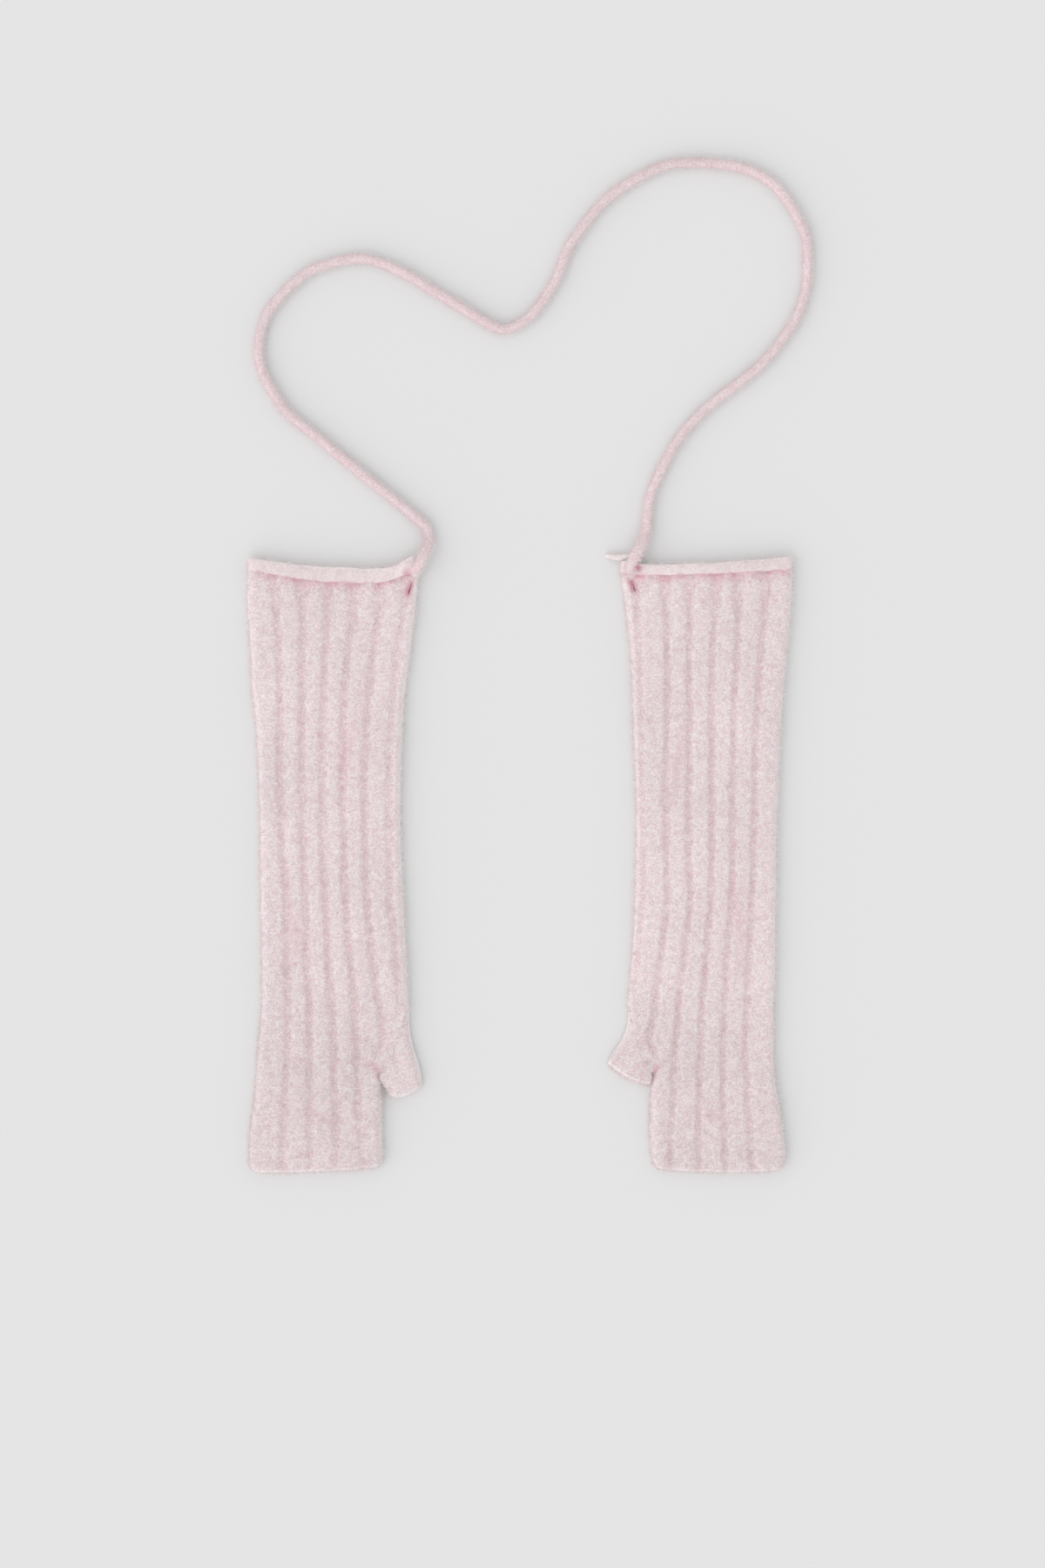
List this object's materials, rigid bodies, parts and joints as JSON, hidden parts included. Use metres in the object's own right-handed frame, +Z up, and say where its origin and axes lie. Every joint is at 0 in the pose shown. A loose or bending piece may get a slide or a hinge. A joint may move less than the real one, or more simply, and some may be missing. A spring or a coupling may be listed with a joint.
{
  "type": "pair of long fingerless mittens",
  "caption": "Long ribbed fingerless mittens laid flat side by side, each an open tube with a short open thumb and a rolled arm edge, joined by a round knitted cord",
  "frame": {"origin": "on the surface that the mittens lie on, midway between the two mittens and under the middle of their length", "axes": "+Z up, +Y from the finger ends to the arm ends, +X towards the right mitten of the picture"},
  "size_m": [0.335, 0.6017, 0.0142],
  "materials": {
    "brushed_rib": "brushed pale pink rib knit",
    "plain_roll": "brushed pale pink plain knit",
    "knitted_cord": "pale pink knitted cord"
  },
  "bodies": {
    "root": {"mitten_left": "brushed_rib", "mitten_right": "brushed_rib", "thumb_left": "brushed_rib", "thumb_right": "brushed_rib", "rolled_edge_left": "plain_roll", "rolled_edge_right": "plain_roll", "cord": "knitted_cord", "cord_tail": "knitted_cord"}
  },
  "joints": []
}
